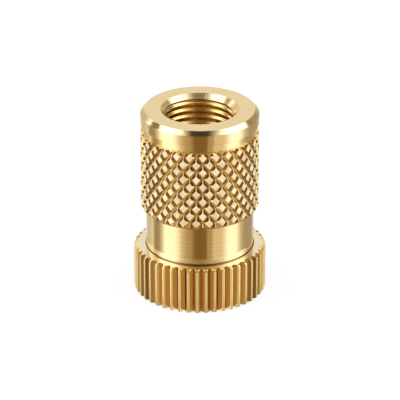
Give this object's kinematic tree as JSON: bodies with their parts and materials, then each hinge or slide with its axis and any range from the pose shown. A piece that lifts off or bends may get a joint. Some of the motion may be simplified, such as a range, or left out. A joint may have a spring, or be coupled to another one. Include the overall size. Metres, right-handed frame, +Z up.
{
  "type": "knurled nut",
  "caption": "Round brass insert nut with a tapped through bore, a diamond-knurled barrel between a chamfered collar and a neck, and a straight-knurled foot flange.",
  "frame": {"origin": "centre of the foot, on the face that the nut stands on", "axes": "+Z up along the bore, from the flange to the collar; +X and +Y across, with no face that marks them"},
  "size_m": [0.017, 0.017, 0.025],
  "materials": {
    "brass": "bright turned brass with fine circular tool marks, knurls left as cut"
  },
  "bodies": {
    "root": {"knurled_nut": "brass"}
  },
  "joints": []
}
